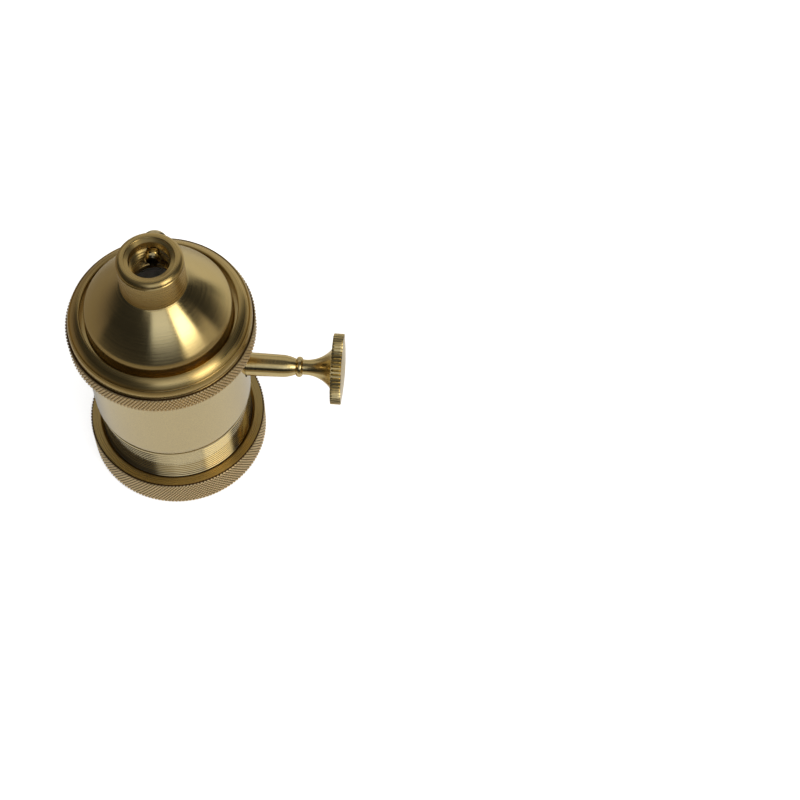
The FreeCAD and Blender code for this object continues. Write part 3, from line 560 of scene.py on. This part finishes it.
def glazedPorcelain():
    # steatite porcelain under a clear glaze: warm white, glossy, with tiny dark specks from firing
    material, tree, shader = newMaterial("glazedPorcelain")
    ripple = addNode(tree, "ShaderNodeTexNoise", {"Scale": perSize(5.556), "Detail": 2.0})
    speck = addNode(tree, "ShaderNodeTexNoise", {"Scale": perSize(0.7143), "Detail": 0.0})
    speck = addNode(tree, "ShaderNodeMapRange", {0: speck.outputs["Fac"], 1: 0.74, 2: 0.78, 3: 0.0, 4: 1.0})
    tone = addNode(tree, "ShaderNodeMix", {
        "Factor": speck.outputs[0], "A": linearColour("#ECE8DE"), "B": linearColour("#8F8470")},
        data_type="RGBA")
    tree.links.new(tone.outputs["Result"], shader.inputs["Base Color"])
    relief = addNode(tree, "ShaderNodeBump", {
        "Strength": 0.15, "Distance": 0.1 * mm, "Height": ripple.outputs["Fac"]})
    tree.links.new(relief.outputs[0], shader.inputs["Normal"])
    shader.inputs["Roughness"].default_value = 0.16
    shader.inputs["IOR"].default_value = 1.52
    shader.inputs["Coat Weight"].default_value = 0.3
    return material


def mouldedPhenolic():
    # phenolic resin, moulded: brown black with a dull sheen
    material, tree, shader = newMaterial("mouldedPhenolic")
    flow = addNode(tree, "ShaderNodeTexNoise", {"Scale": perSize(2.0), "Detail": 5.0})
    tone = addNode(tree, "ShaderNodeMix", {
        "Factor": flow.outputs["Fac"], "A": linearColour("#2A1A12"), "B": linearColour("#402A1C")},
        data_type="RGBA")
    tree.links.new(tone.outputs["Result"], shader.inputs["Base Color"])
    shader.inputs["Roughness"].default_value = 0.42
    shader.inputs["IOR"].default_value = 1.6
    return material


finishes = {
    "brushed": brushedBrass(), "turned": turnedBrass(), "polished": polishedBrass(),
    "knurled": knurledBrass(), "rolled": rolledBrass(), "steel": zincedSteel(),
    "porcelain": glazedPorcelain(), "phenolic": mouldedPhenolic(),
}
print("materials made")

# dome with its threaded neck, one turned piece
dome = {
    "flange": 1.2, "side": 4.1, "sideRadius": 18.1, "shoulderCurve": 3.2, "shoulderTurn": 38,
    "crownRise": 11.1, "crownCurve": 41, "wall": 1.3, "neckRadius": 8.0,
    "lipHeight": 1.25, "lipGroove": 0.22, "lipCurve": 1.6, "lipFlat": 6.75, "mouth": 5.95, "leadIn": 0.6,
    "boreRadius": 5.05, "threadDepth": 0.5, "pitch": 1.0, "runout": 0.5, "around": 192,
    "bevel": 0.15, "flangeFillet": 0.35, "mouthEdge": 0.2, "neckMargin": 0.05,
    "neckFillet": 0.14, "filletOut": 0.12, "filletBelow": 0.05, "filletAbove": 0.1,
}


def buildDome():
    low, high = boxMm("dome_cap")
    foot, top = low[2], high[2]
    flangeTop = foot + dome["flange"]
    sideTop = flangeTop + dome["side"]
    neckFoot = sideTop + dome["crownRise"]
    radius, shoulder = dome["sideRadius"], dome["shoulderCurve"]
    bend = math.radians(dome["shoulderTurn"])
    neck, wall, bevel, fillet = dome["neckRadius"], dome["wall"], dome["bevel"], dome["flangeFillet"]
    path = [(radius - wall, foot)]
    straightTo(path, (high[0] - bevel, foot))
    straightTo(path, (high[0], foot + bevel))
    straightTo(path, (high[0], flangeTop - bevel))
    straightTo(path, (high[0] - bevel, flangeTop))
    straightTo(path, (radius + fillet, flangeTop), 3)
    arcTo(path, (radius, flangeTop + fillet), fillet, "right", 4)
    straightTo(path, (radius, sideTop), 4)
    shoulderTop = (radius - shoulder * (1 - math.cos(bend)), sideTop + shoulder * math.sin(bend))
    arcTo(path, shoulderTop, shoulder, "left", 10)
    crownTop = (neck + dome["filletOut"], neckFoot - dome["filletBelow"])
    arcTo(path, crownTop, dome["crownCurve"], "left", 28)
    arcTo(path, (neck, neckFoot + dome["filletAbove"]), dome["neckFillet"], "right", 3)
    lipFoot = top - dome["lipHeight"]
    straightTo(path, (neck, lipFoot - dome["lipGroove"]), 8)
    straightTo(path, (neck - dome["lipGroove"], lipFoot))
    straightTo(path, (neck, lipFoot + dome["lipGroove"]))
    arcTo(path, (dome["lipFlat"], top), dome["lipCurve"], "left", 8)
    mouthEdge = dome["mouthEdge"]
    straightTo(path, (dome["mouth"] + mouthEdge, top), 2)
    arcTo(path, (dome["mouth"], top - mouthEdge), mouthEdge, "left", 3)
    straightTo(path, (dome["boreRadius"], top - dome["leadIn"]), 2)
    thread = threadTo(path, neckFoot - dome["runout"], dome["pitch"], -dome["threadDepth"], cutThread)
    straightTo(path, (dome["boreRadius"], neckFoot - wall))
    innerBend = shoulder - wall
    innerTop = (radius - shoulder + innerBend * math.cos(bend), sideTop + innerBend * math.sin(bend))
    arcTo(path, innerTop, dome["crownCurve"] - wall, "right", 16)
    arcTo(path, (radius - wall, sideTop), innerBend, "right", 6)
    straightTo(path, (radius - wall, foot), 3)
    path.pop()      # the path closes on its first point
    return turnedPiece("domeTurned", path, dome["around"], thread=thread)


domePiece = buildDome()

# locking screw in the back of the neck, and the hole that it runs in
screw = {
    "radius": 1.95, "threadDepth": 0.42, "clearance": 0.04, "pitch": 0.7, "tipStep": 0.45, "tipLength": 0.4,
    "rim": 0.8, "dome": 1.6, "headFoot": 1.7, "bevel": 0.1, "slot": 0.8, "slotDepth": 0.8, "past": 1,
    "holeEnd": 12, "around": 72,
}
axisGap = 0.02      # radius where a solid piece's path meets its axis
screwLow, screwHigh = boxMm("locking_screw")
screwHeight = (screwLow[2] + screwHigh[2]) / 2
screwHead = (screwHigh[2] - screwLow[2]) / 2


def layAlong(piece, axis, height):
    # turns the piece's own Z axis to +X or +Y at that height
    angle, about = (90, "Y") if axis == "x" else (-90, "X")
    turn = Matrix.Rotation(math.radians(angle), 4, about)
    piece.matrix_world = Matrix.Translation((0, 0, height * mm)) @ turn
    bpy.context.view_layer.update()


def cylinderAlong(radius, start, end, axis, height, around=48):
    rod = turnedPiece("cutter", [(radius, start), (radius, end)], around, closed=False)
    layAlong(rod, axis, height)
    return rod


holeRadius = screw["radius"] + screw["clearance"]
cutAway(domePiece, cylinderAlong(holeRadius, 0, screw["holeEnd"], "y", screwHeight))
dress(domePiece, finishes["brushed"], "holder", "satin_brass", "dome_cap")
domeLow, domeHigh = boxMm("dome_cap")
neckBottom = domeLow[2] + dome["flange"] + dome["side"] + dome["crownRise"]
neckOutside = dome["neckRadius"] + dome["neckMargin"]
splitFinish(domePiece, finishes["turned"], neckBottom, domeHigh[2] + dome["neckMargin"], 0, neckOutside)


def buildLockingScrew():
    tip, headFoot = screwLow[1], screwHigh[1] - screw["headFoot"]
    top = headFoot + screw["rim"] + screw["dome"]
    radius, bevel = screw["radius"], screw["bevel"]
    path = [(axisGap, tip), (radius - screw["tipStep"], tip), (radius, tip + screw["tipLength"])]
    thread = threadTo(path, headFoot - bevel, screw["pitch"], -screw["threadDepth"], cutThread)
    straightTo(path, (radius, headFoot))
    straightTo(path, (screwHead - bevel, headFoot))
    straightTo(path, (screwHead, headFoot + bevel))
    straightTo(path, (screwHead, headFoot + screw["rim"]))
    curve = (screwHead ** 2 + screw["dome"] ** 2) / (2 * screw["dome"])
    arcTo(path, (axisGap, top), curve, "left", 14)
    piece = turnedPiece("lockingScrewTurned", path, screw["around"], closed=False, thread=thread)
    side, half = screwHead + screw["past"], screw["slot"] / 2
    corners = [(x * mm, y * mm, z * mm) for z in (top - screw["slotDepth"], top + screw["past"])
               for x, y in ((-side, -half), (side, -half), (side, half), (-side, half))]
    sides = [(3, 2, 1, 0), (4, 5, 6, 7), (0, 1, 5, 4), (1, 2, 6, 5), (2, 3, 7, 6), (3, 0, 4, 7)]
    bar = bpy.data.meshes.new("slot")
    bar.from_pydata(corners, [], sides)
    cutAway(piece, placePiece("slot", bar))
    layAlong(piece, "y", screwHeight)
    return piece


dress(buildLockingScrew(), finishes["polished"], "neck_screw", "polished_brass", "locking_screw")
print("dome and locking screw made")

# cap ring: diamond knurl below, flat land, bead, fine step and rounded shoulder above
capRing = {
    "knurlHeight": 5.0, "land": 0.8, "beadHeight": 2.8, "beadInset": 0.4, "beadCurve": 3.0,
    "step": 0.22, "shoulderCurve": 4.5, "lipRadius": 19.3, "lipDrop": 3.2, "bore": 20.15,
    "cells": 158, "cellHeight": 1.4, "depth": 0.36, "edge": 0.2, "undercut": 0.1, "corner": 0.05,
    "lipEdge": 0.3,
}


def knurlBand(path, size, radius, foot, top):
    # rows a quarter of a cell apart: two sets of slanting grooves cross, and flat-topped diamonds stand
    # between them. Gives back the rows and their relief
    rows = 4 * round((top - foot) / size["cellHeight"])
    straightTo(path, (radius, foot))
    first = len(path) - 1
    straightTo(path, (radius, top), rows)
    band = range(first, len(path))

    def relief(turns, row, height):
        if row not in band:
            return 0
        along = np.arange(len(turns)) / 4
        across = (row - first) / 4
        diamond = np.minimum(ridge(along + across, 1), ridge(along - across, 1))
        return -size["depth"] * (1 - np.clip(2 * diamond, 0, 1))

    return band, relief


def buildCapRing():
    low, high = boxMm("cap_ring")
    radius, foot, top = high[0], low[2], high[2]
    knurlTop = foot + capRing["knurlHeight"]
    beadRadius = radius - capRing["land"]
    beadTop = knurlTop + capRing["beadHeight"]
    edge, depth, lipEdge = capRing["edge"], capRing["depth"], capRing["lipEdge"]
    undercut, corner = capRing["undercut"], capRing["corner"]
    path = [(capRing["bore"], foot)]
    straightTo(path, (radius - depth - undercut, foot), 2)
    band, relief = knurlBand(path, capRing, radius, foot + edge, knurlTop - edge)
    straightTo(path, (radius - depth, knurlTop))
    straightTo(path, (beadRadius + undercut, knurlTop), 2)
    straightTo(path, (beadRadius - corner, knurlTop + edge))
    beadEnd = beadRadius - capRing["beadInset"]
    arcTo(path, (beadEnd, beadTop), capRing["beadCurve"], "left", 12)
    straightTo(path, (beadEnd - corner, beadTop + corner))
    straightTo(path, (beadEnd - capRing["step"], beadTop - undercut))
    arcTo(path, (capRing["lipRadius"] + lipEdge, top), capRing["shoulderCurve"], "left", 14)
    arcTo(path, (capRing["lipRadius"], top - lipEdge), lipEdge, "left", 4)
    straightTo(path, (capRing["lipRadius"], top - capRing["lipDrop"]), 3)
    straightTo(path, (capRing["bore"], top - capRing["lipDrop"]), 1)
    piece = turnedPiece("capRingTurned", path, capRing["cells"] * 4, relief, knurlRows=band)
    dress(piece, finishes["turned"], "holder", "satin_brass", "cap_ring")
    splitFinish(piece, finishes["knurled"], foot, knurlTop, beadRadius + undercut)


buildCapRing()

# shade ring: the same knurl up to its top edge, a flat top and a bevelled foot
shadeRing = {
    "foot": 1.0, "footInset": 0.6, "top": 0.35, "bore": 20.05, "lead": 0.65,
    "cells": 157, "cellHeight": 1.4, "depth": 0.36, "rootStep": 0.05, "footDrop": 0.1, "topInset": 0.15,
    "topMargin": 0.01,
}


def buildShadeRing():
    low, high = boxMm("shade_ring")
    radius, foot, top = high[0], low[2], high[2]
    knurlFoot, knurlTop = foot + shadeRing["foot"], top - shadeRing["top"]
    depth = shadeRing["depth"]
    path = [(shadeRing["bore"], foot)]
    straightTo(path, (radius - shadeRing["footInset"], foot), 3)
    bandFoot = knurlFoot - shadeRing["footDrop"]
    straightTo(path, (radius - depth - shadeRing["rootStep"], bandFoot), 2)
    band, relief = knurlBand(path, shadeRing, radius, knurlFoot, knurlTop)
    straightTo(path, (radius - depth - shadeRing["topInset"], top))
    straightTo(path, (shadeRing["bore"] + shadeRing["lead"], top), 3)
    straightTo(path, (shadeRing["bore"], top - shadeRing["lead"]))
    piece = turnedPiece("shadeRingTurned", path, shadeRing["cells"] * 4, relief, knurlRows=band)
    dress(piece, finishes["turned"], "shade_clamp", "satin_brass", "shade_ring")
    splitFinish(piece, finishes["knurled"], bandFoot, top - shadeRing["topMargin"], radius - 2 * depth)


buildShadeRing()
print("rings made")

# shell: polished tube over a threaded skirt
shell = {
    "skirt": 23.8, "spigot": 5.3, "spigotDepth": 0.3, "crest": 19.9, "threadDepth": 0.34, "pitch": 1.0,
    "bore": 18.4, "rim": 1.4, "rimWidth": 1.8, "relief": 0.7, "reliefRadius": 19.2, "reliefSlope": 0.2,
    "footBevel": 0.4, "edge": 0.22, "around": 224,
    "knobBarrel": 3.05, "knobGap": 0.4, "holeStart": 10, "holeEnd": 30,
}
knobLow, knobHigh = boxMm("knob")
knobHeight = (knobLow[2] + knobHigh[2]) / 2


def buildShell():
    low, high = boxMm("shell")
    radius, foot, top = high[0], low[2], high[2]
    spigotFoot, spigotRadius = top - shell["spigot"], radius - shell["spigotDepth"]
    skirtTop = foot + shell["skirt"]
    threadTop = skirtTop - shell["relief"]
    path = [(shell["bore"] - shell["rimWidth"], foot)]
    straightTo(path, (shell["crest"] - shell["threadDepth"], foot), 3)
    straightTo(path, (shell["crest"], foot + shell["footBevel"]), 3)
    thread = threadTo(path, threadTop, shell["pitch"], -shell["threadDepth"], rolledThread)
    straightTo(path, (shell["reliefRadius"], threadTop + shell["reliefSlope"]))
    straightTo(path, (shell["reliefRadius"], skirtTop), 2)
    straightTo(path, (radius - shell["edge"], skirtTop), 2)
    arcTo(path, (radius, skirtTop + shell["edge"]), shell["edge"], "left", 4)
    straightTo(path, (radius, spigotFoot), 24)
    straightTo(path, (spigotRadius, spigotFoot))
    straightTo(path, (spigotRadius, top), 6)
    straightTo(path, (shell["bore"], top), 2)
    straightTo(path, (shell["bore"], foot + shell["rim"]), 20)
    straightTo(path, (shell["bore"] - shell["rimWidth"], foot + shell["rim"]), 2)
    piece = turnedPiece("shellTurned", path, shell["around"], thread=thread)
    holeRadius = shell["knobBarrel"] + shell["knobGap"]
    cutAway(piece, cylinderAlong(holeRadius, shell["holeStart"], shell["holeEnd"], "x", knobHeight))
    dress(piece, finishes["polished"], "holder", "polished_brass", "shell")


buildShell()
print("shell made")

# knob: turned barrel, bead, flare and a ribbed disc
knob = {
    "barrel": 3.05, "barrelEnd": 2.88, "barrelLength": 10.85, "taper": 3.2, "taperRadius": 2.06,
    "bead": 1.8, "beadCurve": 0.95, "stem": 0.6, "stemRadius": 1.96, "flare": 6.8, "flareRadius": 5.5,
    "flareCurve": 8.3, "disc": 2.75, "crown": 0.6, "ribs": 54, "perRib": 8, "ribDepth": 0.35, "land": 0.15,
    "taperCurve": 9, "bevel": 0.15, "discCorner": 0.1, "discSlope": 0.02, "footStep": 0.2,
    "ribSlope": 1.6, "ribFlat": 0.5,
}


def buildKnob():
    start, end = knobLow[0], knobHigh[0]
    radius = (knobHigh[1] - knobLow[1]) / 2
    barrelEnd = start + knob["barrelLength"]
    taperEnd = barrelEnd + knob["taper"]
    beadEnd = taperEnd + knob["bead"]
    stemEnd = beadEnd + knob["stem"]
    flareEnd = stemEnd + knob["flare"]
    discEnd = flareEnd + knob["disc"]
    bevel, corner, slope = knob["bevel"], knob["discCorner"], knob["discSlope"]
    path = [(axisGap, start)]
    straightTo(path, (knob["barrel"] - bevel, start), 2)
    straightTo(path, (knob["barrel"], start + bevel))
    straightTo(path, (knob["barrelEnd"], barrelEnd), 6)
    arcTo(path, (knob["taperRadius"], taperEnd), knob["taperCurve"], "left", 8)
    arcTo(path, (knob["stemRadius"], beadEnd), knob["beadCurve"], "left", 12)
    straightTo(path, (knob["stemRadius"], stemEnd), 2)
    arcTo(path, (knob["flareRadius"], flareEnd), knob["flareCurve"], "right", 18)
    straightTo(path, (radius - knob["ribDepth"] - knob["footStep"], flareEnd), 4)
    ribStart = len(path)
    straightTo(path, (radius - corner, flareEnd + slope))
    straightTo(path, (radius, flareEnd + bevel))
    straightTo(path, (radius, discEnd - bevel), 4)
    straightTo(path, (radius - corner, discEnd - slope))
    ribEnd = len(path) - 1
    crownFoot = radius - knob["ribDepth"] - knob["land"]
    straightTo(path, (crownFoot, discEnd))
    curve = (crownFoot ** 2 + knob["crown"] ** 2) / (2 * knob["crown"])
    arcTo(path, (axisGap, end), curve, "left", 16)

    def ribs(turns, row, height):
        if row < ribStart or row > ribEnd:
            return 0
        wave = ridge(turns, fullTurn / knob["ribs"])
        return -knob["ribDepth"] * np.clip(knob["ribSlope"] * (1 - wave) - knob["ribFlat"], 0, 1)

    piece = turnedPiece("knobTurned", path, knob["ribs"] * knob["perRib"], ribs, closed=False)
    layAlong(piece, "x", knobHeight)
    dress(piece, finishes["brushed"], "switch_knob", "polished_brass", "knob")


buildKnob()
print("knob made")

# screw shell: sheet rolled into the lamp thread
screwShell = {
    "wall": 0.35, "mouth": 2.4, "crestDepth": 1.1, "pitch": 3.629, "flangeHole": 7.6, "around": 160,
    "rows": 84, "topPlain": 0.4, "waveRise": 0.8, "fadeFoot": 2.2, "fadeTop": 1.5,
}


def buildScrewShell():
    low, high = boxMm("screw_shell")
    foot, top = low[2], high[2]
    outer, wall = high[0], screwShell["wall"]
    inner = outer - wall
    mean = inner - screwShell["crestDepth"] / 2
    waveFoot = foot + screwShell["mouth"]
    fullFoot = waveFoot + screwShell["waveRise"]
    waveTop = top - wall - screwShell["topPlain"]
    path = [(inner, foot), (outer, foot), (outer, waveFoot)]
    outStart = len(path)
    straightTo(path, (mean + wall, fullFoot), 4)
    straightTo(path, (mean + wall, waveTop), screwShell["rows"])
    outEnd = len(path) - 1
    straightTo(path, (mean + wall, top))
    straightTo(path, (screwShell["flangeHole"], top), 2)
    straightTo(path, (screwShell["flangeHole"], top - wall))
    straightTo(path, (mean, top - wall), 2)
    straightTo(path, (mean, waveTop))
    inStart = len(path) - 1
    straightTo(path, (mean, fullFoot), screwShell["rows"])
    inEnd = len(path) - 1
    straightTo(path, (inner, waveFoot), 4)

    def lampThread(turns, row, height):
        if not (outStart <= row <= outEnd or inStart <= row <= inEnd):
            return 0
        fromFoot = (height - waveFoot) / screwShell["fadeFoot"]
        fromTop = (waveTop - height) / screwShell["fadeTop"]
        wave = np.sin(fullTurn * height / screwShell["pitch"] - turns)
        return np.clip(min(fromFoot, fromTop), 0, 1) * screwShell["crestDepth"] / 2 * wave

    piece = turnedPiece("screwShellRolled", path, screwShell["around"], lampThread)
    dress(piece, finishes["rolled"], "holder", "contact_brass", "screw_shell")


buildScrewShell()
print("screw shell made")

# the pieces that stay as the frame has them, with their real finish
keptFinishes = {
    "porcelain": ["porcelain_core", "terminal_block"],
    "rolled": ["centre_contact", "centre_contact_rivet", "fixed_contact", "switch_blade", "neutral_strap",
               "terminal_live", "terminal_neutral"],
    "steel": ["terminal_screw_live", "terminal_screw_neutral", "core_screw_front", "core_screw_rear",
              "detent_spring", "switch_spindle"],
    "phenolic": ["switch_cam"],
}
for finish, names in keptFinishes.items():
    for name in names:
        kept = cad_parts[name].data
        kept.materials.clear()
        kept.materials.append(finishes[finish])
print("inner pieces dressed")
